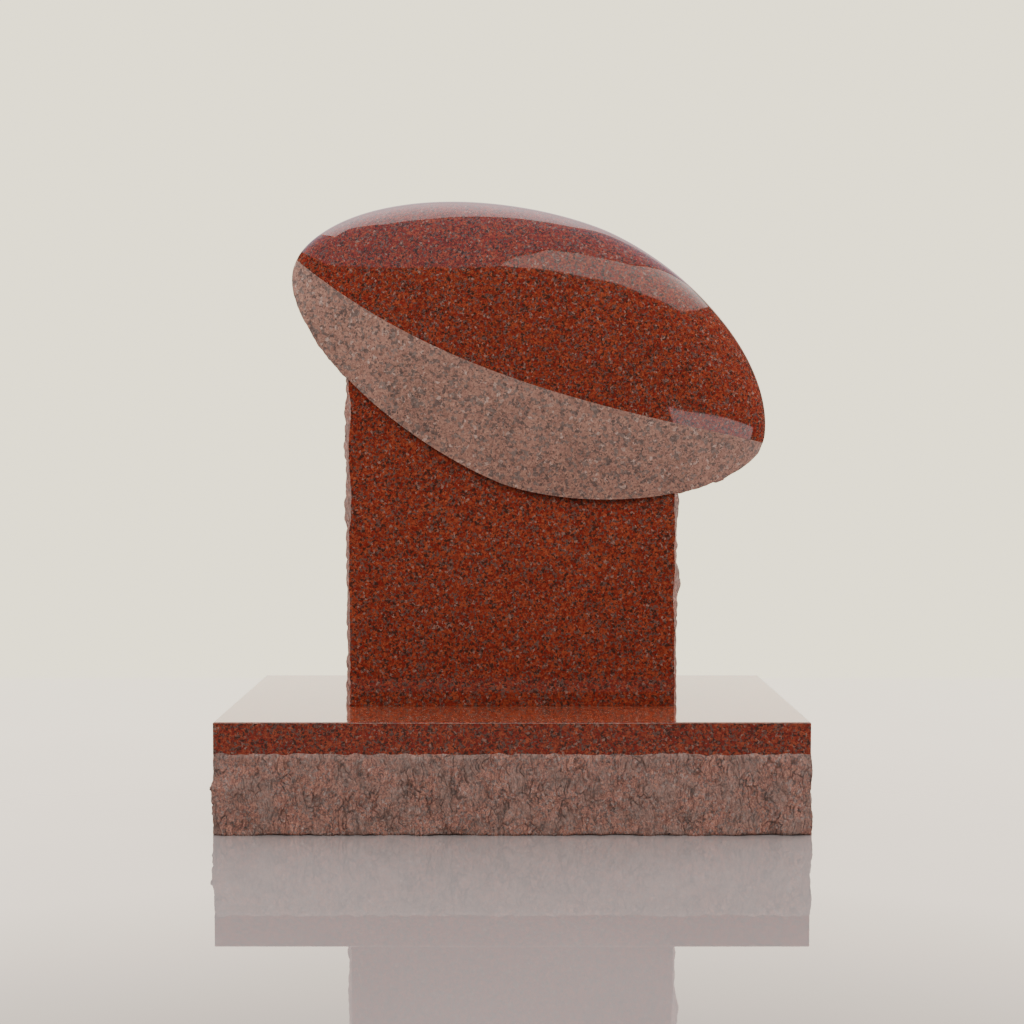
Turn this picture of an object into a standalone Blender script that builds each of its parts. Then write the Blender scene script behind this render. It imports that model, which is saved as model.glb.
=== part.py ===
"""Rugby ball headstone: a tilted ball carved in one with its tablet, standing on a base stone.

Metres, +Z up. The origin is on the ground under the middle of the base, and the front faces -Y.
"""

import math

import bmesh
import bpy
from mathutils import Matrix, Vector, noise

# Base stone: polished top and margin, rock-pitched below
BASE_WIDTH = 1.067
BASE_DEPTH = 0.508
BASE_HEIGHT = 0.203
MARGIN_HEIGHT = 0.057
ARRIS = 0.002
BASE_SWELL = 0.0065
BASE_CHIP_DEPTH = 0.0055
LEDGE_DROP = 0.012
CORNER_BITE = 0.006
CORNER_REACH = 0.030

# Tablet: polished front and back, rock-pitched sides
TABLET_WIDTH = 0.616
TABLET_THICKNESS = 0.203
TABLET_SWELL = 0.007
BED_GAP = 0.0003

# Scallops struck along the tablet's edges: each side has its own chance run, and the sizes are scattered
SCALLOP_OUT = 0.032
SCALLOP_LENGTH = 0.100
SCALLOP_ACROSS = 0.300
SCALLOP_STEEPNESS = 2.2
LEFT_SCALLOPS = 720.5
RIGHT_SCALLOPS = 621.1
SCALLOP_SCATTER = 9.1

# Ball: its outline is measured from the centre, along and across the tilted long axis
BALL_CENTRE_X = 0.074
BALL_CENTRE_ABOVE_BASE = 0.660
BALL_TILT = math.radians(21.4)
BALL_LEFT_REACH = 0.524
BALL_RIGHT_REACH = 0.440
BALL_RISE = 0.2745
BALL_DROP = 0.2545
BALL_EDGE_PROUD = 0.0125
BALL_CROWN = 0.040
BALL_SWELL = 0.0055
BALL_CHIP_DEPTH = 0.006

# Roundness of the curves: 2 is an ellipse, less is more pointed
UPPER_ROUNDNESS = 1.79
LOWER_LEFT_ROUNDNESS = 1.75
LOWER_RIGHT_ROUNDNESS = 1.62
SECTION_ROUNDNESS = 2.4
TIP_ROUNDNESS = 5.0

# Pitched stone: its broken chips are taller than they are wide, and its arrises drift a little
CHIP_SIZE = 0.055
CHIP_STRETCH = 1.7
CHIP_WARP = 0.022
CHIP_STEEPNESS = 1.1
ARRIS_WANDER = 0.0015
EDGE_FULLNESS = 6
CHIP_SEED = 7

# Spacing of the mesh
BASE_CELL = 0.021
TABLET_CELL = 0.021
TABLET_ROWS = 8
BALL_STATIONS = 56
UPPER_STEPS = 8
LOWER_STEPS = 4
EDGE_STEPS = 8

CUT_TOLERANCE = 1e-6


def clear_scene():
    for obj in list(bpy.data.objects):
        bpy.data.objects.remove(obj, do_unlink=True)


def add_collection(name):
    collection = bpy.data.collections.new(name)
    bpy.context.scene.collection.children.link(collection)
    return collection


def granite(name, colour, roughness):
    material = bpy.data.materials.new(name)
    material.use_nodes = True
    shader = material.node_tree.nodes["Principled BSDF"]
    shader.inputs["Base Color"].default_value = (*colour, 1.0)
    shader.inputs["Roughness"].default_value = roughness
    shader.inputs["Metallic"].default_value = 0.0
    return material


def add_object(name, bm, collection, material):
    bmesh.ops.recalc_face_normals(bm, faces=bm.faces[:])
    mesh = bpy.data.meshes.new(name)
    bm.to_mesh(mesh)
    bm.free()
    mesh.materials.append(material)
    obj = bpy.data.objects.new(name, mesh)
    collection.objects.link(obj)
    return obj


def block(low, high):
    """A box between two corners."""
    size = Vector(high) - Vector(low)
    middle = (Vector(high) + Vector(low)) / 2
    bm = bmesh.new()
    bmesh.ops.create_cube(bm, size=1.0, matrix=Matrix.Translation(middle) @ Matrix.Diagonal((*size, 1.0)))
    return bm


def evenly(start, end, cell):
    """Places that divide the stretch from start to end into equal parts of about one cell."""
    parts = max(1, round((end - start) / cell))
    return [start + (end - start) * i / parts for i in range(1, parts)]


def cut_faces(bm, picked, axis, places):
    """Cut only the faces that picked() names, square to one axis."""
    normal = Vector((0.0, 0.0, 0.0))
    normal[axis] = 1.0
    for place in places:
        faces = [face for face in bm.faces if picked(face)]
        edges = dict.fromkeys(edge for face in faces for edge in face.edges)
        verts = dict.fromkeys(vert for face in faces for vert in face.verts)
        bmesh.ops.bisect_plane(
            bm,
            geom=faces + list(edges) + list(verts),
            dist=CUT_TOLERANCE,
            plane_co=normal * place,
            plane_no=normal,
        )


def smooth_step(value):
    value = min(1.0, max(0.0, value))
    return value * value * (3.0 - 2.0 * value)


def chips(point):
    """Relief of pitched stone, from -1 in the hollow of a chip to 0 on the ridges between chips."""
    warp = noise.noise_vector(point / (2.0 * CHIP_SIZE)) * CHIP_WARP
    place = point + warp
    place.z /= CHIP_STRETCH
    distances = noise.voronoi(place / CHIP_SIZE)[0]
    return max(-1.0, min(0.0, (distances[0] - distances[1]) * CHIP_STEEPNESS))


def wander(point):
    """Slow sideways drift of a broken arris."""
    return ARRIS_WANDER * noise.noise(point / CHIP_SIZE)


def scallop(point):
    """Bulge between two blows of the chisel along the tablet's edge, 0 at the cusps."""
    run = LEFT_SCALLOPS if point.x < 0 else RIGHT_SCALLOPS
    distances, hearts = noise.voronoi(Vector((run, point.y / SCALLOP_ACROSS, point.z / SCALLOP_LENGTH)))
    dome = min(1.0, (distances[1] - distances[0]) * SCALLOP_STEEPNESS)
    return abs(noise.cell(hearts[0] * SCALLOP_SCATTER)) * math.sin(dome * math.pi / 2)


def base_relief(point, rock_top):
    """How far the base's rock face stands out from the margin above it, less at its broken corners."""
    under_margin = min(1.0, (rock_top - point.z) / LEDGE_DROP)
    from_corner = BASE_WIDTH / 2 - abs(point.x) + BASE_DEPTH / 2 - abs(point.y)
    bite = CORNER_BITE * (1.0 - smooth_step(from_corner / CORNER_REACH))
    return under_margin * (BASE_SWELL + BASE_CHIP_DEPTH * chips(point) - bite)


def make_base(collection, material):
    half_width = BASE_WIDTH / 2
    half_depth = BASE_DEPTH / 2
    rock_top = BASE_HEIGHT - MARGIN_HEIGHT
    bm = block((-half_width, -half_depth, 0.0), (half_width, half_depth, BASE_HEIGHT))

    def upright(face):
        return abs(face.normal.z) < 0.5

    def rock(face):
        return upright(face) and face.calc_center_median().z < rock_top

    cut_faces(bm, upright, 2, [rock_top])
    top_edges = [e for e in bm.edges if all(v.co.z > BASE_HEIGHT - CUT_TOLERANCE for v in e.verts)]
    bmesh.ops.bevel(bm, geom=top_edges, offset=ARRIS, segments=1, affect="EDGES")
    cut_faces(bm, rock, 2, [rock_top - LEDGE_DROP])
    cut_faces(bm, rock, 2, evenly(0.0, rock_top - LEDGE_DROP, BASE_CELL))
    cut_faces(bm, rock, 0, evenly(-half_width, half_width, BASE_CELL))
    cut_faces(bm, rock, 1, evenly(-half_depth, half_depth, BASE_CELL))

    for vert in bm.verts:
        point = vert.co.copy()
        if point.z > rock_top - CUT_TOLERANCE:
            continue
        out = base_relief(point, rock_top)
        if abs(point.x) > half_width - CUT_TOLERANCE:
            vert.co.x += out * math.copysign(1.0, point.x)
        if abs(point.y) > half_depth - CUT_TOLERANCE:
            vert.co.y += out * math.copysign(1.0, point.y)
    return add_object("base", bm, collection, material)


def make_tablet(collection, material):
    """The tablet runs up inside the ball as far as the ball's centre."""
    half_width = TABLET_WIDTH / 2
    half_thickness = TABLET_THICKNESS / 2
    bed = BASE_HEIGHT + BED_GAP
    top = BASE_HEIGHT + BALL_CENTRE_ABOVE_BASE
    bm = block((-half_width, -half_thickness, bed), (half_width, half_thickness, top))

    def side(face):
        return abs(face.normal.x) > 0.5

    cut_faces(bm, side, 2, evenly(bed, top, TABLET_CELL))
    rows = range(1, TABLET_ROWS)
    cut_faces(bm, side, 1, [TABLET_THICKNESS * row / TABLET_ROWS - half_thickness for row in rows])

    for vert in bm.verts:
        point = vert.co.copy()
        across = abs(point.y) / half_thickness
        body = 1.0 - across**EDGE_FULLNESS
        out = body * (TABLET_SWELL + SCALLOP_OUT * scallop(point)) + wander(point)
        vert.co.x += out * math.copysign(1.0, point.x)
    return add_object("headstone", bm, collection, material)


def curve_height(share, roundness):
    """Height of a rounded outline at a share of its reach, from 1 at the middle to 0 at the tip."""
    return (1.0 - min(1.0, abs(share)) ** roundness) ** (1.0 / roundness)


def ball_rise(share):
    return BALL_RISE * curve_height(share, UPPER_ROUNDNESS)


def ball_drop(share):
    return BALL_DROP * curve_height(share, LOWER_LEFT_ROUNDNESS if share < 0 else LOWER_RIGHT_ROUNDNESS)


def ball_along(share):
    return share * (BALL_LEFT_REACH if share < 0 else BALL_RIGHT_REACH)


def edge_half_thickness(share):
    """Half thickness of the ball's pitched edge, a little more than the tablet's."""
    return (TABLET_THICKNESS / 2 + BALL_EDGE_PROUD) * curve_height(share, TIP_ROUNDNESS)


def ball_half_thickness(share, height):
    """Half thickness of the ball at a height above its long axis: a shallow dome below, rounded over above."""
    edge = edge_half_thickness(share)
    crown = BALL_CROWN * (1.0 - share * share)
    if height < 0:
        return edge + crown * (1.0 - (height / ball_drop(share)) ** 2)
    return (edge + crown) * curve_height(height / ball_rise(share), SECTION_ROUNDNESS)


def edge_direction(angle):
    """Outward direction of the lower outline, in the ball's own plane."""
    step = 0.01
    before = math.cos(min(math.pi, angle + step))
    after = math.cos(max(0.0, angle - step))
    run = ball_along(after) - ball_along(before)
    climb = ball_drop(before) - ball_drop(after)
    return Vector((climb, 0.0, -run)).normalized()


def ball_point(angle, step):
    """A point of the ball: angle runs from 0 at the right tip to pi at the left, step counts round a section."""
    share = math.cos(angle)
    along = ball_along(share)
    if abs(share) > 1.0 - CUT_TOLERANCE:
        return Vector((along, 0.0, 0.0))
    face_steps = UPPER_STEPS + LOWER_STEPS
    side = -1.0
    if step > face_steps + EDGE_STEPS // 2:
        step = 2 * face_steps + EDGE_STEPS - step
        side = 1.0
    if step < face_steps:
        if step < UPPER_STEPS:
            height = ball_rise(share) * math.cos(step / UPPER_STEPS * math.pi / 2)
        else:
            height = -ball_drop(share) * (step - UPPER_STEPS) / LOWER_STEPS
        return Vector((along, side * ball_half_thickness(share, height), height))
    across = 1.0 - 2.0 * (step - face_steps) / EDGE_STEPS
    edge = edge_half_thickness(share)
    place = Vector((along, side * across * edge, -ball_drop(share)))
    return place + edge_direction(angle) * ball_edge_relief(ball_placement() @ place, across, edge)


def ball_edge_relief(point, across, edge):
    """How far the ball's pitched edge stands out; it stays clean where the ball laps over the tablet."""
    clear_of_tablet = smooth_step((abs(point.x) - TABLET_WIDTH / 2) / CHIP_SIZE + 0.5)
    near_tip = edge / (TABLET_THICKNESS / 2 + BALL_EDGE_PROUD)
    body = 1.0 - abs(across) ** EDGE_FULLNESS
    out = body * (BALL_SWELL + BALL_CHIP_DEPTH * chips(point)) + wander(point)
    return clear_of_tablet * near_tip * out


def ball_placement():
    centre = Vector((BALL_CENTRE_X, 0.0, BASE_HEIGHT + BALL_CENTRE_ABOVE_BASE))
    return Matrix.Translation(centre) @ Matrix.Rotation(BALL_TILT, 4, "Y")


def make_ball(collection, material):
    """A sphere with its poles at the ball's tips, each ring of points moved to the ball's own section."""
    around = 2 * (UPPER_STEPS + LOWER_STEPS) + EDGE_STEPS
    bm = bmesh.new()
    bmesh.ops.create_uvsphere(bm, u_segments=around, v_segments=BALL_STATIONS, radius=1.0)
    for vert in bm.verts:
        angle = math.acos(max(-1.0, min(1.0, vert.co.z)))
        turn = math.atan2(vert.co.y, vert.co.x) / math.tau
        vert.co = ball_point(angle, round(turn * around) % around)
    ball = add_object("ball", bm, collection, material)
    ball.matrix_world = ball_placement()
    ball.hide_render = True
    ball.display_type = "WIRE"
    return ball


def join(body, other):
    union = body.modifiers.new("Join " + other.name, "BOOLEAN")
    union.operation = "UNION"
    union.solver = "EXACT"
    union.object = other


def main():
    clear_scene()
    noise.seed_set(CHIP_SEED)
    parts = add_collection("rugby_ball_headstone")
    helpers = add_collection("helpers")
    helpers.hide_render = True
    base_stone = granite("base_granite", (0.21, 0.12, 0.10), 0.75)
    red_stone = granite("red_granite", (0.16, 0.030, 0.014), 0.12)
    make_base(parts, base_stone)
    headstone = make_tablet(parts, red_stone)
    join(headstone, make_ball(helpers, red_stone))


main()
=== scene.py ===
import math

import bmesh
import bpy
from mathutils import Matrix, Vector, noise


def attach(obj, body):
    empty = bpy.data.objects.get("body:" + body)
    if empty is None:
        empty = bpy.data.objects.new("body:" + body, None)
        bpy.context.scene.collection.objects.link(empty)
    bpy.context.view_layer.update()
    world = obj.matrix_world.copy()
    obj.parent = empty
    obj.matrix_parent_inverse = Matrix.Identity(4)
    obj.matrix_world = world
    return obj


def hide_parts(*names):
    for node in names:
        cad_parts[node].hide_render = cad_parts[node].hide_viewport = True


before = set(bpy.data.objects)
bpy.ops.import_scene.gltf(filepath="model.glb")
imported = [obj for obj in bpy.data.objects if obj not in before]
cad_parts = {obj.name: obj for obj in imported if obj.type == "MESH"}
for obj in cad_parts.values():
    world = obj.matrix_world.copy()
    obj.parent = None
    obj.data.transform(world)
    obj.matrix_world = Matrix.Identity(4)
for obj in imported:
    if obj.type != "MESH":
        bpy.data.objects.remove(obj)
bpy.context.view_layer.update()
scene = bpy.context.scene
noise.seed_set(7)  # the stone breaks the same way each time
print("frame loaded")


viewpoint = {
    "place": (0.0, -2.5383, 0.6705),
    "lookDown": 2.306,  # degrees
    "lens": 45.39,
    "film": 36.0,
}


def placeCamera():
    data = bpy.data.cameras.new("camera")
    data.lens = viewpoint["lens"]
    data.sensor_width = viewpoint["film"]
    data.clip_end = 60.0
    camera = bpy.data.objects.new("camera", data)
    camera.location = viewpoint["place"]
    camera.rotation_euler = (math.radians(90.0 - viewpoint["lookDown"]), 0.0, 0.0)
    scene.collection.objects.link(camera)
    scene.camera = camera


placeCamera()
print("camera placed")


# broken stone: how the pitching chisel leaves it

rockFace = {
    "chipSize": 0.055,  # big chips, the same as in the solids
    "chipStretch": 1.7,
    "chipWarp": 0.022,
    "chipSteepness": 1.1,
    "scarSize": 0.021,  # flat scars inside a chip
    "scarStretch": 2.3,
    "scarDepth": 0.0042,
    "flakeSize": 0.0095,  # small flakes
    "flakeStretch": 2.6,
    "flakeDepth": 0.0024,
    "scarBend": 0.45,  # how far the scars' edges wander, in their own sizes
    "bendWidth": 0.6,
    "scarStep": 0.35,  # the drop from one scar to the next
    "leanScatter": 9.1,
    "stepScatter": 5.3,
    "gritSize": 0.006,
    "gritDepth": 0.0006,
    "arrisWander": 0.0015,
    "arrisNick": 0.0010,
    "nickSize": 0.013,
    "edgeFullness": 6,  # how square the broken edge stays towards its arrises
    "sharpAngle": 50.0,  # degrees, above which a ridge stays crisp
}


def smoothStep(value):
    value = min(1.0, max(0.0, value))
    return value * value * (3.0 - 2.0 * value)


def bigChips(point):  # -1 in the hollow of a chip, 0 on the ridges
    place = point + noise.noise_vector(point / (2.0 * rockFace["chipSize"])) * rockFace["chipWarp"]
    place.z /= rockFace["chipStretch"]
    nearest, second = noise.voronoi(place / rockFace["chipSize"])[0][:2]
    return max(-1.0, min(0.0, (nearest - second) * rockFace["chipSteepness"]))


def facets(point, size, stretch):  # flat scars that each lean their own way, with steps between
    place = Vector((point.x, point.y, point.z / stretch)) / size
    place += noise.noise_vector(place * rockFace["bendWidth"]) * rockFace["scarBend"]
    heart = noise.voronoi(place)[1][0]
    lean = noise.cell_vector(heart * rockFace["leanScatter"]) - Vector((0.5, 0.5, 0.5))
    step = noise.cell(heart * rockFace["stepScatter"]) - 0.5
    return (place - heart).dot(lean) + rockFace["scarStep"] * step


def fineBreak(point):  # scars, flakes and grit, in metres, about zero
    out = rockFace["scarDepth"] * facets(point, rockFace["scarSize"], rockFace["scarStretch"])
    out += rockFace["flakeDepth"] * facets(point, rockFace["flakeSize"], rockFace["flakeStretch"])
    return out + rockFace["gritDepth"] * noise.noise(point / rockFace["gritSize"])


def arrisDrift(point):
    slow = rockFace["arrisWander"] * noise.noise(point / rockFace["chipSize"])
    return slow + rockFace["arrisNick"] * noise.noise(point / rockFace["nickSize"])


# mesh helpers shared by the two stones

polished, pitched, frosted, polishedFine, polishedTop = range(5)  # material places on each stone


def skin(bm, rings, finishOf):  # quads between neighbouring closed rings
    for row in range(len(rings) - 1):
        low, high = rings[row], rings[row + 1]
        count = len(low)
        for column in range(count):
            after = (column + 1) % count
            face = bm.faces.new((low[column], low[after], high[after], high[column]))
            face.material_index = finishOf(row, column)


def sharpen(bm):  # crisp where the finish turns to broken stone, and at steep ridges
    angle = math.radians(rockFace["sharpAngle"])
    for face in bm.faces:
        face.smooth = True
    for edge in bm.edges:
        if len(edge.link_faces) != 2:
            continue
        finishes = {face.material_index == pitched for face in edge.link_faces}
        edge.smooth = len(finishes) == 1 and edge.calc_face_angle(0.0) < angle


def putStone(name, bm, materials, node):
    mesh = bpy.data.meshes.new(name)
    bm.to_mesh(mesh)
    bm.free()
    for material in materials:
        mesh.materials.append(material)
    stone = bpy.data.objects.new(name, mesh)
    scene.collection.objects.link(stone)
    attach(stone, "root")
    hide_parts(node)
    return stone


# granite: grain, then one material for each finish

def addNode(tree, kind, values=None, **settings):
    node = tree.nodes.new(kind)
    for key, value in settings.items():
        setattr(node, key, value)
    for key, value in (values or {}).items():
        node.inputs[key].default_value = value
    return node


def maths(tree, operation, first, second=None):
    node = addNode(tree, "ShaderNodeMath", operation=operation)
    for socket, value in zip(node.inputs, (first, second)):
        if value is None:
            continue
        if isinstance(value, (int, float)):
            socket.default_value = value
        else:
            tree.links.new(value, socket)
    return node.outputs[0]


def mixColours(tree, share, first, second, blend="MIX"):
    node = addNode(tree, "ShaderNodeMix", data_type="RGBA", blend_type=blend)
    for socket, value in ((node.inputs[0], share), (node.inputs[6], first), (node.inputs[7], second)):
        if isinstance(value, (int, float, tuple)):
            socket.default_value = value
        else:
            tree.links.new(value, socket)
    return node.outputs[2]


def shaded(tree, colour, brightness):
    grey = tree.nodes.new("ShaderNodeCombineColor")
    for socket in grey.inputs:
        tree.links.new(brightness, socket)
    return mixColours(tree, 1.0, colour, grey.outputs[0], "MULTIPLY")


def ramp(tree, value, start, end, low=0.0, high=1.0):  # low at the start, high at the end
    ends = {"From Min": start, "From Max": end, "To Min": low, "To Max": high}
    node = addNode(tree, "ShaderNodeMapRange", ends)
    tree.links.new(value, node.inputs["Value"])
    return node.outputs[0]


def noiseTexture(tree, place, scale, detail, roughness=0.5):
    node = addNode(tree, "ShaderNodeTexNoise", {"Scale": scale, "Detail": detail, "Roughness": roughness})
    tree.links.new(place, node.inputs["Vector"])
    return node.outputs


def toEdgeOfCell(tree, place, cellsPerMetre):
    node = addNode(tree, "ShaderNodeTexVoronoi", {"Scale": cellsPerMetre}, feature="DISTANCE_TO_EDGE")
    tree.links.new(place, node.inputs["Vector"])
    return node.outputs["Distance"]


def bumpNormal(tree, height, strength, depth):
    node = addNode(tree, "ShaderNodeBump", {"Strength": strength, "Distance": depth})
    tree.links.new(height, node.inputs["Height"])
    return node.outputs["Normal"]


grains = {
    "onTablet": 255.0,  # crystals in a metre
    "onBall": 270.0,
    "finer": 2.2,  # the small ones, as many times more in a metre
    "raggedScale": 210.0,
    "raggedBy": 0.009,
    "orangeFrom": 0.35,  # below this a crystal is all red
    "pale": 0.045,  # shares of the crystals
    "quartz": 0.20,
    "micaLarge": 0.08,
    "micaSmall": 0.15,
    "cloudScale": 14.0,
}


def makeGrain():  # crystals of feldspar, quartz and mica, with the mineral colours as inputs
    tree = bpy.data.node_groups.new("graniteGrain", "ShaderNodeTree")

    def socket(name, way, kind):
        return tree.interface.new_socket(name, in_out=way, socket_type="NodeSocket" + kind)

    socket("Vector", "INPUT", "Vector")
    for name in ("Red Feldspar", "Orange Feldspar", "Pale Feldspar", "Quartz", "Mica"):
        socket(name, "INPUT", "Color")
    for name, usual in (("Grains Per Metre", 150.0), ("Unevenness", 0.5), ("Clouding", 0.15)):
        socket(name, "INPUT", "Float").default_value = usual
    socket("Colour", "OUTPUT", "Color")
    socket("Mica Mask", "OUTPUT", "Float")
    socket("Crystal", "OUTPUT", "Float")
    link = tree.links.new
    inside = tree.nodes.new("NodeGroupInput").outputs
    out = tree.nodes.new("NodeGroupOutput").inputs

    # the crystals' edges are ragged
    ragged = noiseTexture(tree, inside["Vector"], grains["raggedScale"], 2.0)["Color"]
    centred = addNode(tree, "ShaderNodeVectorMath", operation="SUBTRACT")
    link(ragged, centred.inputs[0])
    centred.inputs[1].default_value = (0.5, 0.5, 0.5)
    small = addNode(tree, "ShaderNodeVectorMath", {"Scale": grains["raggedBy"]}, operation="SCALE")
    link(centred.outputs[0], small.inputs[0])
    place = addNode(tree, "ShaderNodeVectorMath", operation="ADD")
    link(inside["Vector"], place.inputs[0])
    link(small.outputs[0], place.inputs[1])

    def crystals(times):
        cells = addNode(tree, "ShaderNodeTexVoronoi", {"Randomness": 1.0})
        link(place.outputs[0], cells.inputs["Vector"])
        link(maths(tree, "MULTIPLY", inside["Grains Per Metre"], times), cells.inputs["Scale"])
        split = tree.nodes.new("ShaderNodeSeparateColor")
        link(cells.outputs["Color"], split.inputs[0])
        return split.outputs

    large = crystals(1.0)
    fine = crystals(grains["finer"])
    orange = ramp(tree, large[0], grains["orangeFrom"], 1.0)
    isPale = maths(tree, "GREATER_THAN", large[2], 1.0 - grains["pale"])
    isQuartz = maths(tree, "LESS_THAN", large[0], grains["quartz"])
    micaLarge = maths(tree, "LESS_THAN", large[1], grains["micaLarge"])
    micaSmall = maths(tree, "LESS_THAN", fine[0], grains["micaSmall"])
    isMica = maths(tree, "MAXIMUM", micaLarge, micaSmall)
    colour = mixColours(tree, orange, inside["Red Feldspar"], inside["Orange Feldspar"])
    colour = mixColours(tree, isQuartz, colour, inside["Quartz"])
    colour = mixColours(tree, isPale, colour, inside["Pale Feldspar"])
    colour = mixColours(tree, isMica, colour, inside["Mica"])

    clouds = noiseTexture(tree, inside["Vector"], grains["cloudScale"], 3.0)["Fac"]
    cloud = maths(tree, "MULTIPLY", maths(tree, "SUBTRACT", clouds, 0.5), inside["Clouding"])
    uneven = maths(tree, "MULTIPLY", maths(tree, "SUBTRACT", fine[1], 0.5), inside["Unevenness"])
    bright = maths(tree, "ADD", maths(tree, "ADD", cloud, uneven), 1.0)
    link(shaded(tree, colour, bright), out["Colour"])
    link(isMica, out["Mica Mask"])
    link(fine[2], out["Crystal"])
    return tree


grainGroup = makeGrain()


def startMaterial(name):
    material = bpy.data.materials.new(name)
    material.use_nodes = True
    tree = material.node_tree
    shader = tree.nodes["Principled BSDF"]
    place = tree.nodes.new("ShaderNodeTexCoord").outputs["Object"]
    return material, tree, shader, place


def addGrain(tree, place, minerals, grainsPerMetre):
    values = {"Grains Per Metre": grainsPerMetre, **minerals}
    grain = tree.nodes.new("ShaderNodeGroup")
    grain.node_tree = grainGroup
    for name, value in values.items():
        grain.inputs[name].default_value = value
    tree.links.new(place, grain.inputs["Vector"])
    return grain.outputs


polishedStone = {
    "minerals": {
        "Red Feldspar": (0.198, 0.018, 0.011, 1.0),
        "Orange Feldspar": (0.335, 0.072, 0.032, 1.0),
        "Pale Feldspar": (0.270, 0.140, 0.108, 1.0),
        "Quartz": (0.132, 0.067, 0.054, 1.0),
        "Mica": (0.060, 0.020, 0.014, 1.0),
        "Unevenness": 0.50,
        "Clouding": 0.25,
    },
    "paintedLightTopMinerals": {  # the top of the base is painted paler than its margin: a painted highlight of the light falling on it
        "Red Feldspar": (0.330, 0.050, 0.022, 1.0),
        "Orange Feldspar": (0.520, 0.120, 0.056, 1.0),
        "Pale Feldspar": (0.450, 0.240, 0.170, 1.0),
        "Quartz": (0.200, 0.120, 0.090, 1.0),
        "Mica": (0.120, 0.040, 0.026, 1.0),
        "Unevenness": 0.50,
        "Clouding": 0.25,
    },
    # the ball's copy: a little darker than the tablet, which is painted shade, with more uneven and clouded
    # grain
    "ballMineralsWithPaintedShade": {
        "Red Feldspar": (0.188, 0.018, 0.012, 1.0),
        "Orange Feldspar": (0.305, 0.064, 0.028, 1.0),
        "Pale Feldspar": (0.260, 0.135, 0.105, 1.0),
        "Quartz": (0.128, 0.064, 0.054, 1.0),
        "Mica": (0.050, 0.020, 0.014, 1.0),
        "Unevenness": 0.85,
        "Clouding": 0.30,
    },
    "index": 1.33,
    "shine": 0.035,  # roughness of the polish
    "topShine": 0.09,
    "ballShine": 0.045,
    "skinShine": 0.7,  # the outermost skin is this much smoother
    "micaDulls": 0.05,
    "waves": 8.0,  # slow waves left by polishing the ball, in a metre
    "waveDepth": 0.0014,
}


def makePolished(name, minerals, grainsPerMetre, shine, waveDepth=0.0):
    material, tree, shader, place = startMaterial(name)
    grain = addGrain(tree, place, minerals, grainsPerMetre)
    tree.links.new(grain["Colour"], shader.inputs["Base Color"])
    dull = maths(tree, "MULTIPLY", grain["Mica Mask"], polishedStone["micaDulls"])
    tree.links.new(maths(tree, "ADD", dull, shine), shader.inputs["Roughness"])
    shader.inputs["IOR"].default_value = polishedStone["index"]
    shader.inputs["Coat Weight"].default_value = 1.0
    shader.inputs["Coat Roughness"].default_value = polishedStone["skinShine"] * shine
    shader.inputs["Coat IOR"].default_value = polishedStone["index"]
    if waveDepth > 0:
        waves = noiseTexture(tree, place, polishedStone["waves"], 1.0)["Fac"]
        normal = bumpNormal(tree, waves, 1.0, waveDepth)
        for name in ("Normal", "Coat Normal"):
            tree.links.new(normal, shader.inputs[name])
    return material


frostedStone = {
    "minerals": {
        "Red Feldspar": (0.315, 0.155, 0.116, 1.0),
        "Orange Feldspar": (0.400, 0.208, 0.150, 1.0),
        "Pale Feldspar": (0.450, 0.290, 0.235, 1.0),
        "Quartz": (0.210, 0.144, 0.121, 1.0),
        "Mica": (0.145, 0.092, 0.078, 1.0),
        "Unevenness": 0.62,
        "Clouding": 0.50,
    },
    "grainsPerMetre": 172.0,
    "roughness": 0.62,
    "pitScale": 620.0,
    "pitting": 0.0004,
}


def makeFrosted():
    material, tree, shader, place = startMaterial("frostedGranite")
    grain = addGrain(tree, place, frostedStone["minerals"], frostedStone["grainsPerMetre"])
    tree.links.new(grain["Colour"], shader.inputs["Base Color"])
    shader.inputs["Roughness"].default_value = frostedStone["roughness"]
    pits = noiseTexture(tree, place, frostedStone["pitScale"], 3.0)["Fac"]
    height = maths(tree, "ADD", pits, grain["Crystal"])
    tree.links.new(bumpNormal(tree, height, 0.5, frostedStone["pitting"]), shader.inputs["Normal"])
    return material


pitchedStone = {
    "minerals": {
        "Red Feldspar": (0.375, 0.166, 0.128, 1.0),
        "Orange Feldspar": (0.460, 0.218, 0.157, 1.0),
        "Pale Feldspar": (0.450, 0.300, 0.260, 1.0),
        "Quartz": (0.295, 0.205, 0.180, 1.0),
        "Mica": (0.190, 0.120, 0.104, 1.0),
        "Unevenness": 0.45,
        "Clouding": 0.4,
    },
    "roughness": 0.68,
    "patchScale": 19.0,
    "stained": (0.280, 0.192, 0.163, 1.0),  # greyer patches
    "stain": 0.6,
    "stainWhere": (0.44, 0.60),  # from none to all, of the patches' noise
    "streak": (1.0, 1.0, 0.30),  # the chisel's marks run up and down
    "streakScale": 320.0,
    # the marks are painted lighter where they stand up and darker where they sink: painted light and shade
    "streakPaintedLightAndShade": (0.37, 1.68),
    "driftScale": 28.0,
    "driftBy": (0.03, 0.03, 0.03),
    "creases": 62.0,  # cells in a metre
    "creaseWidth": 0.10,
    "creaseWhere": (0.40, 0.58),
    # how dark the creases are painted: painted shade
    "creasePaintedShade": 0.60,
    "cracks": 15.0,  # long thin cracks, cells in a metre
    "crackWidth": (0.003, 0.022),
    "crackWhere": (0.46, 0.54),
    # how dark the cracks are painted: painted shade
    "crackPaintedShade": 0.42,
    "crackDepth": 0.6,
    "streakDepth": 1.8,
    "gritScale": 420.0,
    "gritDepth": 0.7,
    "roughBreak": 0.0012,
}


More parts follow.
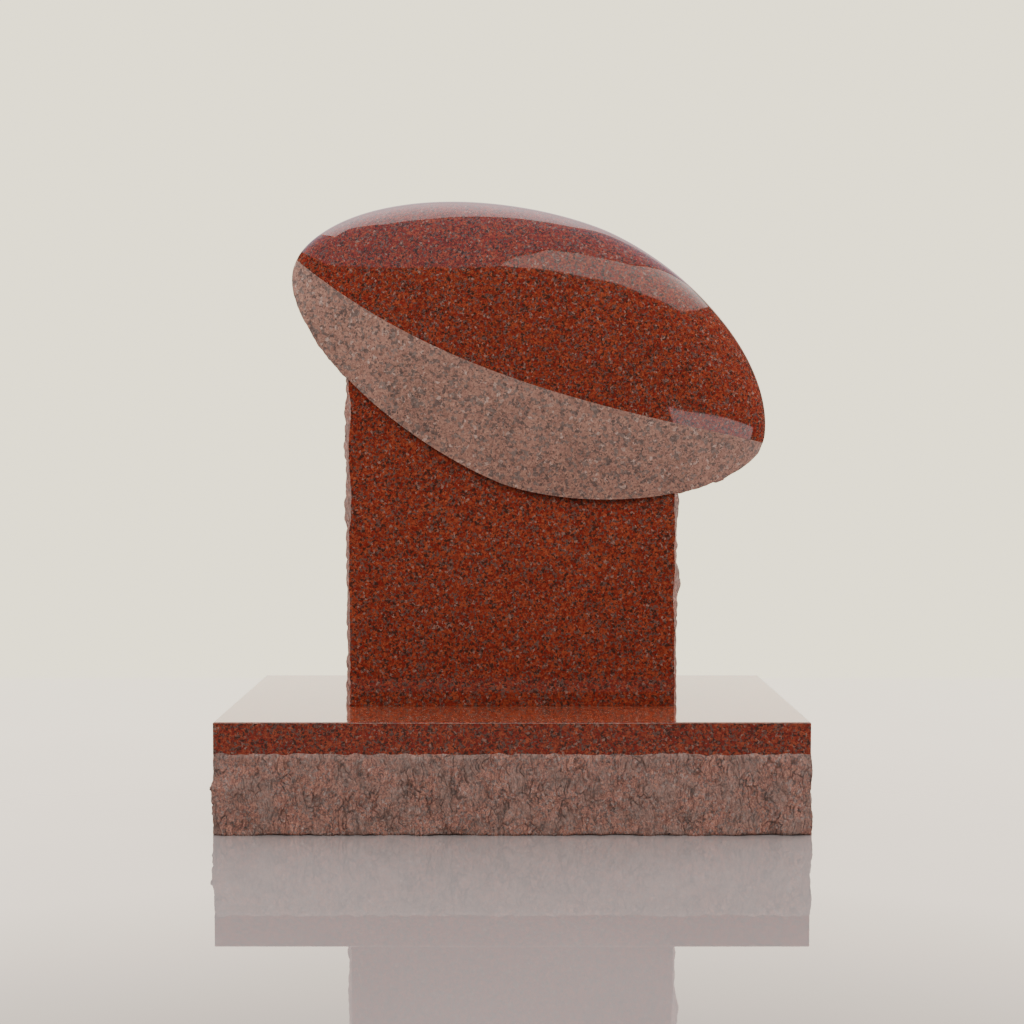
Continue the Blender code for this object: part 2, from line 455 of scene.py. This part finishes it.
def makePitched():
    rough = pitchedStone
    material, tree, shader, place = startMaterial("pitchedGranite")
    link = tree.links.new
    grain = addGrain(tree, place, rough["minerals"], grains["onTablet"])
    drift = noiseTexture(tree, place, rough["driftScale"], 2.0)

    # stained and fresh patches
    patchy = noiseTexture(tree, place, rough["patchScale"], 3.0, 0.6)["Fac"]
    stain = ramp(tree, patchy, *rough["stainWhere"], 0.0, rough["stain"])
    colour = mixColours(tree, stain, grain["Colour"], rough["stained"])

    # the chisel's marks, drawn out upwards and bent
    tall = addNode(tree, "ShaderNodeVectorMath", operation="MULTIPLY")
    link(place, tall.inputs[0])
    tall.inputs[1].default_value = rough["streak"]
    bend = addNode(tree, "ShaderNodeVectorMath", operation="MULTIPLY_ADD")
    link(drift["Color"], bend.inputs[0])
    bend.inputs[1].default_value = rough["driftBy"]
    link(tall.outputs[0], bend.inputs[2])
    marks = bend.outputs[0]
    streaks = noiseTexture(tree, marks, rough["streakScale"], 4.0, 0.75)["Fac"]

    # painted shade in the creases in some places, and in a few long thin cracks
    creases = ramp(tree, toEdgeOfCell(tree, marks, rough["creases"]), 0.0, rough["creaseWidth"], 1.0, 0.0)
    broken = maths(tree, "MULTIPLY", creases, ramp(tree, drift["Fac"], *rough["creaseWhere"]))
    cracks = ramp(tree, toEdgeOfCell(tree, marks, rough["cracks"]), *rough["crackWidth"], 1.0, 0.0)
    cracked = maths(tree, "MULTIPLY", cracks, ramp(tree, patchy, *rough["crackWhere"]))
    creasePaintedShade = maths(tree, "MULTIPLY", broken, rough["creasePaintedShade"])
    crackPaintedShade = maths(tree, "MULTIPLY", cracked, rough["crackPaintedShade"])
    light = maths(tree, "SUBTRACT", 1.0, maths(tree, "MAXIMUM", creasePaintedShade, crackPaintedShade))
    # the marks are painted lighter on their raised parts and darker in their hollows, painted light and
    # shade, times the painted shade of creases and cracks
    shade = maths(tree, "MULTIPLY", ramp(tree, streaks, 0.30, 0.70, *rough["streakPaintedLightAndShade"]), light)
    link(shaded(tree, colour, shade), shader.inputs["Base Color"])
    shader.inputs["Roughness"].default_value = rough["roughness"]

    # the same marks as relief
    grit = noiseTexture(tree, place, rough["gritScale"], 4.0)["Fac"]
    height = maths(tree, "MULTIPLY", streaks, rough["streakDepth"])
    height = maths(tree, "ADD", height, maths(tree, "MULTIPLY", grit, rough["gritDepth"]))
    height = maths(tree, "SUBTRACT", height, broken)
    height = maths(tree, "SUBTRACT", height, maths(tree, "MULTIPLY", cracked, rough["crackDepth"]))
    link(bumpNormal(tree, height, 0.8, rough["roughBreak"]), shader.inputs["Normal"])
    return material


finishes = [  # in the order of the material places above
    makePolished("polishedGranite", polishedStone["minerals"], grains["onTablet"], polishedStone["shine"]),
    makePitched(),
    makeFrosted(),
    # the ball's darker copy of the polish carries painted shade
    makePolished(
        "polishedBallGraniteWithPaintedShade", polishedStone["ballMineralsWithPaintedShade"], grains["onBall"],
        polishedStone["ballShine"], polishedStone["waveDepth"],
    ),
    # the base top's paler copy of the polish carries a painted highlight
    makePolished(
        "polishedTopGraniteWithPaintedLight", polishedStone["paintedLightTopMinerals"], grains["onTablet"], polishedStone["topShine"],
    ),
]
print("granite finishes made")


# base stone: polished top and margin, broken stone below

baseStone = {
    "width": 1.067,
    "depth": 0.508,
    "height": 0.203,
    "margin": 0.057,
    "arris": 0.002,
    "arrisSteps": 3,
    "arrisShoulder": 1.6,  # where the flat faces start, in arrises
    "swell": 0.0062,
    "chipDepth": 0.0055,
    "ledge": 0.005,  # how quickly the broken stone steps out under the margin
    "cornerBite": 0.002,
    "cornerReach": 0.030,
    "footInset": 0.004,
    "footWander": 0.004,
    "footRipple": 0.030,
    "footLifted": 0.25,  # more of this lifts more of the foot's edge
    "marginWander": 0.0032,
    "marginRipple": 0.017,
    "cell": 0.0042,
    "mostOut": 0.0064,
}


def baseOutline():  # points round the block with their outward directions
    halfWidth = baseStone["width"] / 2
    halfDepth = baseStone["depth"] / 2
    corners = [(-halfWidth, -halfDepth), (halfWidth, -halfDepth)]
    corners += [(halfWidth, halfDepth), (-halfWidth, halfDepth)]
    outline = []
    for index, (x, y) in enumerate(corners):
        toX, toY = corners[(index + 1) % 4]
        parts = round((abs(toX - x) + abs(toY - y)) / baseStone["cell"])
        outward = (0.0, math.copysign(1.0, y)) if y == toY else (math.copysign(1.0, x), 0.0)
        outline.append((x, y, math.copysign(1.0, x), math.copysign(1.0, y)))
        for part in range(1, parts):
            share = part / parts
            outline.append((x + (toX - x) * share, y + (toY - y) * share, *outward))
    return outline


def baseRelief(point, rockTop):
    underMargin = min(1.0, max(0.0, (rockTop - point.z) / baseStone["ledge"]))
    fromCorner = baseStone["width"] / 2 - abs(point.x) + baseStone["depth"] / 2 - abs(point.y)
    bite = baseStone["cornerBite"] * (1.0 - smoothStep(fromCorner / baseStone["cornerReach"]))
    out = baseStone["swell"] + baseStone["chipDepth"] * bigChips(point) + fineBreak(point) - bite
    return min(baseStone["mostOut"], underMargin * out)


def makeBase():
    bm = bmesh.new()
    outline = baseOutline()
    rockTop = baseStone["height"] - baseStone["margin"]
    top = baseStone["height"]
    arris = baseStone["arris"]
    rows = round(rockTop / baseStone["cell"])

    def ring(placeOf):
        return [bm.verts.new(placeOf(x, y, outX, outY)) for x, y, outX, outY in outline]

    def foot(x, y, outX, outY):
        inset = baseStone["footInset"]
        return (x - outX * inset, y - outY * inset, 0.0)

    def rock(row):
        def placeOf(x, y, outX, outY):
            share = row / rows
            point = Vector((x, y, rockTop * share))
            out = baseRelief(point, rockTop)
            ripple = noise.noise(point / baseStone["footRipple"]) + baseStone["footLifted"]
            lift = baseStone["footWander"] * max(0.0, ripple) * (1.0 - share) ** 6
            drift = baseStone["marginWander"] * noise.noise(point / baseStone["marginRipple"]) * share**8
            return (x + outX * out, y + outY * out, point.z + lift + drift)
        return placeOf

    def plain(z, inset):
        def placeOf(x, y, outX, outY):
            return (x - outX * inset, y - outY * inset, z)
        return placeOf

    rings = [ring(foot)] + [ring(rock(row)) for row in range(rows + 1)]
    rockRows = len(rings) - 1
    rings.append(ring(plain(top - arris * baseStone["arrisShoulder"], 0.0)))
    for step in range(baseStone["arrisSteps"] + 1):
        turn = math.pi / 2 * step / baseStone["arrisSteps"]
        rings.append(ring(plain(top - arris * (1.0 - math.sin(turn)), arris * (1.0 - math.cos(turn)))))
    rings.append(ring(plain(top, arris * baseStone["arrisShoulder"])))
    groundRow = rockRows + 2

    def finishOf(row, column):
        if row < rockRows:
            return pitched
        return frosted if row == groundRow else polished  # the arris is only ground

    skin(bm, rings, finishOf)
    bm.faces.new(rings[-1]).material_index = polishedTop
    bm.faces.new(list(reversed(rings[0]))).material_index = pitched
    sharpen(bm)
    return putStone("base_stone", bm, finishes, "base")


baseObject = makeBase()
print("base stone made")


# headstone: the tablet and the ball, carved as one

tabletPart = {
    "width": 0.616,
    "thickness": 0.203,
    "swell": 0.007,
    "scallopOut": 0.0235,
    "scallopLength": 0.100,
    "scallopAcross": 0.300,
    "scallopSteepness": 2.2,
    "leftScallops": 720.5,  # which chance run of them each side has
    "rightScallops": 621.1,
    "scallopScatter": 9.1,
    "nibbleOut": 0.0042,  # small bumps on them
    "nibbleLength": 0.027,
    "nibbleAcross": 2.5,  # as many lengths from front to back
    "nibbleSteepness": 1.6,
    "nibbleRun": 31.7,
    "nibbleScatter": 7.3,
    "breakage": 0.6,
    "arrisBite": 0.011,  # and how far the scallops eat into the polished faces
    "bedGap": 0.0003,
    "cell": 0.0042,
}

ballPart = {
    "centre": (0.074, 0.0, 0.863),
    "tilt": 21.4,  # degrees, right tip low
    "leftReach": 0.524,
    "rightReach": 0.440,
    "rise": 0.2744,
    "drop": 0.2545,
    "edgeProud": 0.0125,
    "crown": 0.040,
    "swell": 0.0055,
    "chipDepth": 0.006,
    "upperRoundness": 1.79,
    "lowerLeftRoundness": 1.75,
    "lowerRightRoundness": 1.62,
    "sectionRoundness": 2.4,
    "tipRoundness": 5.0,
    "stations": 240,
    "upperSteps": 30,
    "lowerSteps": 22,
    "edgeSteps": 50,
}

seam = {  # where the polish gives way to the frosted panel, in the ball's own frame
    "middle": -0.042,
    "halfLength": 0.482,
    "sag": 0.0645,
    "lean": 0.31,
}


def scallop(point):  # bulge between two blows of the chisel, 0 at the cusps
    run = tabletPart["leftScallops"] if point.x < 0 else tabletPart["rightScallops"]
    place = Vector((run, point.y / tabletPart["scallopAcross"], point.z / tabletPart["scallopLength"]))
    distances, hearts = noise.voronoi(place)
    dome = min(1.0, (distances[1] - distances[0]) * tabletPart["scallopSteepness"])
    return abs(noise.cell(hearts[0] * tabletPart["scallopScatter"])) * math.sin(dome * math.pi / 2)


def nibble(point):  # the same again, smaller
    length = tabletPart["nibbleLength"]
    run = math.copysign(tabletPart["nibbleRun"], point.x)
    place = Vector((run, point.y / (tabletPart["nibbleAcross"] * length), point.z / length))
    distances, hearts = noise.voronoi(place)
    dome = min(1.0, (distances[1] - distances[0]) * tabletPart["nibbleSteepness"])
    size = 0.4 + 0.6 * abs(noise.cell(hearts[0] * tabletPart["nibbleScatter"]))
    return size * math.sin(dome * math.pi / 2)


def makeTablet():
    bm = bmesh.new()
    halfWidth = tabletPart["width"] / 2
    halfThickness = tabletPart["thickness"] / 2
    bed = baseStone["height"] + tabletPart["bedGap"]
    top = ballPart["centre"][2]
    across = round(tabletPart["thickness"] / tabletPart["cell"])
    rows = round((top - bed) / tabletPart["cell"])

    def sidePoint(x, y, z):
        point = Vector((x, y, z))
        share = abs(y) / halfThickness
        body = 1.0 - share ** rockFace["edgeFullness"]
        out = tabletPart["swell"] + tabletPart["scallopOut"] * scallop(point)
        out += tabletPart["nibbleOut"] * nibble(point) + tabletPart["breakage"] * fineBreak(point)
        out = body * out + arrisDrift(point) - (1.0 - body) * tabletPart["arrisBite"] * scallop(point)
        return (x + out * math.copysign(1.0, x), y, z)

    rings = []
    for row in range(rows + 1):
        z = bed + (top - bed) * row / rows
        ys = [-halfThickness + tabletPart["thickness"] * step / across for step in range(across + 1)]
        right = [bm.verts.new(sidePoint(halfWidth, y, z)) for y in ys]
        left = [bm.verts.new(sidePoint(-halfWidth, y, z)) for y in reversed(ys)]
        rings.append(right + left)

    def finishOf(row, column):
        return polished if column in (across, 2 * across + 1) else pitched

    skin(bm, rings, finishOf)
    bm.faces.new(rings[-1]).material_index = pitched
    bm.faces.new(list(reversed(rings[0]))).material_index = pitched
    return bm


def curveHeight(share, roundness):
    return (1.0 - min(1.0, abs(share)) ** roundness) ** (1.0 / roundness)


def ballRise(share):
    return ballPart["rise"] * curveHeight(share, ballPart["upperRoundness"])


def ballDrop(share):
    roundness = ballPart["lowerLeftRoundness"] if share < 0 else ballPart["lowerRightRoundness"]
    return ballPart["drop"] * curveHeight(share, roundness)


def ballAlong(share):
    return share * (ballPart["leftReach"] if share < 0 else ballPart["rightReach"])


def seamHeight(along):
    share = max(-1.0, min(1.0, (along - seam["middle"]) / seam["halfLength"]))
    return -seam["sag"] * (1.0 - share * share) * (1.0 - seam["lean"] * share)


def edgeHalfThickness(share):
    edge = tabletPart["thickness"] / 2 + ballPart["edgeProud"]
    return edge * curveHeight(share, ballPart["tipRoundness"])


def ballHalfThickness(share, height):
    edge = edgeHalfThickness(share)
    crown = ballPart["crown"] * (1.0 - share * share)
    if height < 0:
        return edge + crown * (1.0 - (height / ballDrop(share)) ** 2)
    return (edge + crown) * curveHeight(height / ballRise(share), ballPart["sectionRoundness"])


def edgeOutward(angle):
    step = 0.01
    before = math.cos(min(math.pi, angle + step))
    after = math.cos(max(0.0, angle - step))
    run = ballAlong(after) - ballAlong(before)
    climb = ballDrop(before) - ballDrop(after)
    return Vector((climb, 0.0, -run)).normalized()


def ballEdgeRelief(point, across, edge):
    clear = smoothStep((abs(point.x) - tabletPart["width"] / 2) / rockFace["chipSize"] + 0.5)
    nearTip = edge / (tabletPart["thickness"] / 2 + ballPart["edgeProud"])
    body = 1.0 - abs(across) ** rockFace["edgeFullness"]
    out = ballPart["swell"] + ballPart["chipDepth"] * bigChips(point) + fineBreak(point)
    return clear * nearTip * (body * out + arrisDrift(point))


def ballSection(angle, placement):  # one closed ring round the ball, from the top over the front
    share = math.cos(angle)
    along = ballAlong(share)
    rise, drop = ballRise(share), ballDrop(share)
    split = seamHeight(along)
    upper, lower, edgeSteps = ballPart["upperSteps"], ballPart["lowerSteps"], ballPart["edgeSteps"]
    splitTurn = math.acos(max(-1.0, split / rise)) if rise > 0 else math.pi / 2
    heights = [rise * math.cos(splitTurn * step / upper) for step in range(upper)]
    heights += [split + (-drop - split) * step / lower for step in range(lower)]
    front = [Vector((along, -ballHalfThickness(share, height), height)) for height in heights]
    back = [Vector((point.x, -point.y, point.z)) for point in reversed(front[1:])]
    edge = edgeHalfThickness(share)
    outward = edgeOutward(angle)
    under = []
    for step in range(edgeSteps + 1):
        across = 1.0 - 2.0 * step / edgeSteps
        place = Vector((along, -across * edge, -drop))
        under.append(place + outward * ballEdgeRelief(placement @ place, across, edge))
    return [placement @ point for point in front + under + back]


def makeBall():
    bm = bmesh.new()
    lean = Matrix.Rotation(math.radians(ballPart["tilt"]), 4, "Y")
    placement = Matrix.Translation(ballPart["centre"]) @ lean
    stations = ballPart["stations"]
    rings = []
    for station in range(1, stations):
        ring = ballSection(math.pi * station / stations, placement)
        rings.append([bm.verts.new(point) for point in ring])
    upper, lower, edgeSteps = ballPart["upperSteps"], ballPart["lowerSteps"], ballPart["edgeSteps"]
    face = upper + lower

    def finishOf(row, column):
        if face <= column < face + edgeSteps:
            return pitched
        fromTop = min(column, 2 * face + edgeSteps - 1 - column)
        return polishedFine if fromTop < upper else frosted

    skin(bm, rings, finishOf)
    count = len(rings[0])
    tips = ((rings[0], ballPart["rightReach"], False), (rings[-1], -ballPart["leftReach"], True))
    for ring, reach, turned in tips:
        tip = bm.verts.new(placement @ Vector((reach, 0.0, 0.0)))
        for column in range(count):
            pair = (ring[column], ring[(column + 1) % count])
            wedge = bm.faces.new((tip, *(pair if turned else reversed(pair))))
            wedge.material_index = finishOf(0, column)
    bmesh.ops.recalc_face_normals(bm, faces=bm.faces[:])
    return bm


def looseObject(name, bm):
    bmesh.ops.recalc_face_normals(bm, faces=bm.faces[:])
    mesh = bpy.data.meshes.new(name)
    bm.to_mesh(mesh)
    bm.free()
    for material in finishes:
        mesh.materials.append(material)
    loose = bpy.data.objects.new(name, mesh)
    scene.collection.objects.link(loose)
    return loose


def makeHeadstone():
    tablet = looseObject("tablet_blank", makeTablet())
    ball = looseObject("ball_blank", makeBall())
    union = tablet.modifiers.new("carved as one", "BOOLEAN")
    union.operation = "UNION"
    union.solver = "EXACT"
    union.object = ball
    bpy.context.view_layer.update()
    joined = tablet.evaluated_get(bpy.context.evaluated_depsgraph_get()).to_mesh()
    bm = bmesh.new()
    bm.from_mesh(joined)
    for blank in (tablet, ball):
        bpy.data.objects.remove(blank, do_unlink=True)
    sharpen(bm)
    return putStone("carved_headstone", bm, finishes, "headstone")


headstoneObject = makeHeadstone()
print("headstone made")


# studio: pale floor, soft lights

studio = {
    "floorHalfWidth": 2.6,
    "floorFront": -1.6,
    "floorBack": 1.41,
    "floorDrop": 0.02,
    "floorColour": (0.77, 0.69, 0.68, 1.0),
    "floorMottle": 2.5,
    "floorRoughness": 0.012,
    "floorGloss": 0.01,
    "floorMirror": 0.43,
    "backdrop": (2.22, 2.02, 1.48, 1.0),
    "air": (0.73, 0.70, 0.655, 1.0),
    "behind": (0.765, 0.685, 0.545, 1.0),
    "fill": 0.55,  # strength of the even light on matt stone
    "dark": 0.10,  # what the polish mirrors in front and at the sides
    "lowBehind": 3.4,  # and low behind
    "highBehind": 1.1,
    "lowUpTo": (0.31, 0.42),  # how high that goes, as shares of straight up
    "behindFrom": (-0.05, 0.25),
    "sidesFrom": (0.38, 0.48),
}


def makeFloor():
    bm = bmesh.new()
    bmesh.ops.create_cube(bm, size=1.0)
    for vert in bm.verts:
        vert.co.x *= 2.0 * studio["floorHalfWidth"]
        vert.co.y = studio["floorBack"] if vert.co.y > 0 else studio["floorFront"]
        vert.co.z = 0.0 if vert.co.z > 0 else -studio["floorDrop"]
    mesh = bpy.data.meshes.new("studio_floor")
    bm.to_mesh(mesh)
    bm.free()
    floor = bpy.data.objects.new("studio_floor", mesh)
    scene.collection.objects.link(floor)
    material, tree, shader, place = startMaterial("floorPaint")
    mottle = noiseTexture(tree, place, studio["floorMottle"], 2.0)["Fac"]
    tint = ramp(tree, mottle, 0.3, 0.7, 0.97, 1.03)
    tree.links.new(shaded(tree, studio["floorColour"], tint), shader.inputs["Base Color"])
    shader.inputs["Roughness"].default_value = studio["floorRoughness"]
    shader.inputs["Metallic"].default_value = studio["floorMirror"]
    shader.inputs["Coat Weight"].default_value = 1.0
    shader.inputs["Coat Roughness"].default_value = studio["floorGloss"]
    floor.data.materials.append(material)


def makeWorld():  # pale to the eye, and shaped like a bright room in the polish
    world = bpy.data.worlds.new("studio_air")
    world.use_nodes = True
    scene.world = world
    tree = world.node_tree
    link = tree.links.new
    background = tree.nodes["Background"]
    aim = tree.nodes.new("ShaderNodeTexCoord").outputs["Generated"]
    split = tree.nodes.new("ShaderNodeSeparateXYZ")
    link(aim, split.inputs[0])
    path = tree.nodes.new("ShaderNodeLightPath")
    low = ramp(tree, split.outputs["Z"], *studio["lowUpTo"], studio["lowBehind"], studio["highBehind"])
    behind = ramp(tree, split.outputs["Y"], *studio["behindFrom"])
    middle = ramp(tree, maths(tree, "ABSOLUTE", split.outputs["X"]), *studio["sidesFrom"], 1.0, 0.0)
    back = maths(tree, "MULTIPLY", behind, maths(tree, "GREATER_THAN", split.outputs["Z"], 0.0))
    back = maths(tree, "MULTIPLY", back, middle)
    elsewhere = maths(tree, "MULTIPLY", maths(tree, "SUBTRACT", 1.0, back), studio["dark"])
    mirrored = maths(tree, "ADD", elsewhere, maths(tree, "MULTIPLY", back, low))
    even = maths(tree, "MULTIPLY", path.outputs["Is Diffuse Ray"], studio["fill"])
    glossy = maths(tree, "MULTIPLY", path.outputs["Is Glossy Ray"], mirrored)
    strength = maths(tree, "ADD", maths(tree, "ADD", even, glossy), path.outputs["Is Camera Ray"])
    air = mixColours(tree, path.outputs["Is Glossy Ray"], studio["air"], studio["behind"])
    link(mixColours(tree, path.outputs["Is Camera Ray"], air, studio["backdrop"]), background.inputs["Color"])
    link(strength, background.inputs["Strength"])


softboxes = {  # these light the matt stone and are not mirrored
    "key_softbox": {
        "place": (-1.5, -2.4, 2.6),
        "aim": (0.0, 0.0, 0.5),
        "size": (1.8, 1.4),
        "watts": 58.0,
    },
    "left_softbox": {
        "place": (-2.6, 0.3, 0.9),
        "aim": (0.0, 0.0, 0.6),
        "size": (1.4, 1.4),
        "watts": 30.0,
    },
    "right_softbox": {
        "place": (2.4, -1.2, 1.5),
        "aim": (0.0, 0.0, 0.5),
        "size": (1.4, 1.4),
        "watts": 26.0,
    },
    "right_rim": {
        "place": (2.6, 0.5, 0.9),
        "aim": (0.0, 0.0, 0.6),
        "size": (1.4, 1.4),
        "watts": 24.0,
    },
    "top_softbox": {
        "place": (0.0, 1.05, 2.5),
        "aim": (0.0, 0.75, 0.0),
        "size": (3.2, 2.1),
        "watts": 60.0,
    },
}

cards = {  # these are only mirrored in the polish: corners, colour and radiance
    "band_card": {
        "height": 2.6,
        "corners": (
            (-1.24, -0.24), (-0.98, 0.02), (-0.65, -0.37), (-0.31, -0.31), (0.18, 0.06),
            (0.46, 0.32), (0.56, 0.50), (0.70, 0.89), (0.90, 1.30), (1.24, 1.75),
            (1.67, 2.56), (2.10, 4.00), (-1.54, 4.00), (-1.34, 0.76), (-1.26, 0.05),
        ),
        "colour": (1.0, 0.84, 0.87),
        "radiance": 3.15,
        "fade": ("Y", 0.30, 1.80, 1.15),  # along this axis, from here to there, down to this radiance
    },
    "lens_card": {
        "height": 2.6,
        "corners": (
            (0.05, -2.45), (0.59, -2.06), (1.46, -1.43), (1.90, -1.05), (2.05, 0.00),
            (2.16, 1.65), (2.20, 2.60), (1.80, 2.60), (1.37, 0.47), (1.15, -0.41),
            (0.88, -0.77), (0.43, -1.16), (0.21, -1.80),
        ),
        "colour": (1.0, 1.0, 0.95),
        "radiance": 2.1,
        "fade": ("X", 1.20, 2.10, 1.25),
    },
    "sheen_card": {
        "height": 2.6,
        "corners": (
            (-3.07, -2.89), (-2.65, -3.41), (-1.88, -3.62), (-1.05, -3.50), (-0.44, -3.06),
            (0.03, -2.50), (0.19, -1.80), (0.41, -1.14), (0.86, -0.75), (1.13, -0.39),
            (1.35, 0.49), (1.78, 2.60), (1.69, 2.56), (1.26, 1.73), (0.92, 1.28),
            (0.72, 0.87), (0.58, 0.48), (0.48, 0.30), (0.20, 0.04), (-0.30, -0.33),
            (-0.66, -0.39), (-0.98, 0.00), (-1.26, -0.26), (-1.36, 0.76), (-1.56, 4.00),
            (-2.20, 3.10), (-2.80, -0.50),
        ),
        "colour": (0.85, 0.92, 1.15),
        "radiance": 0.6,
    },
    "tip_card": {
        "corners": ((1.07, -2.23, 0.02), (2.54, -0.78, 0.02), (2.54, -0.78, 0.45), (1.07, -2.23, 0.61)),
        "colour": (0.98, 0.96, 1.00),
        "radiance": 2.35,
    },
}


def makeSoftboxes():
    for name, box in softboxes.items():
        data = bpy.data.lights.new(name, "AREA")
        data.shape = "RECTANGLE"
        data.size, data.size_y = box["size"]
        data.energy = box["watts"]
        light = bpy.data.objects.new(name, data)
        light.location = box["place"]
        towards = Vector(box["aim"]) - Vector(box["place"])
        light.rotation_euler = towards.to_track_quat("-Z", "Y").to_euler()
        light.visible_camera = False
        light.visible_glossy = False
        scene.collection.objects.link(light)


def makeCards(stones):
    onlyStones = bpy.data.collections.new("mirrors_the_cards")  # so that the floor does not
    for stone in stones:
        onlyStones.objects.link(stone)
    for name, card in cards.items():
        bm = bmesh.new()
        corners = card["corners"]
        if "height" in card:
            corners = [(x, y, card["height"]) for x, y in corners]
        bm.faces.new([bm.verts.new(corner) for corner in corners])
        mesh = bpy.data.meshes.new(name)
        bm.to_mesh(mesh)
        bm.free()
        board = bpy.data.objects.new(name, mesh)
        board.visible_camera = False
        board.visible_diffuse = False
        board.visible_shadow = False
        board.light_linking.receiver_collection = onlyStones
        scene.collection.objects.link(board)
        material, tree, shader, place = startMaterial(name + "_glow")
        shader.inputs["Base Color"].default_value = (0.0, 0.0, 0.0, 1.0)
        shader.inputs["Specular IOR Level"].default_value = 0.0
        shader.inputs["Emission Color"].default_value = (*card["colour"], 1.0)
        shader.inputs["Emission Strength"].default_value = card["radiance"]
        if "fade" in card:
            axis, near, far, last = card["fade"]
            across = tree.nodes.new("ShaderNodeSeparateXYZ")
            tree.links.new(place, across.inputs[0])
            fade = ramp(tree, across.outputs[axis], near, far, card["radiance"], last)
            tree.links.new(fade, shader.inputs["Emission Strength"])
        mesh.materials.append(material)


makeFloor()
makeWorld()
makeSoftboxes()
makeCards((baseObject, headstoneObject))
print("studio set")
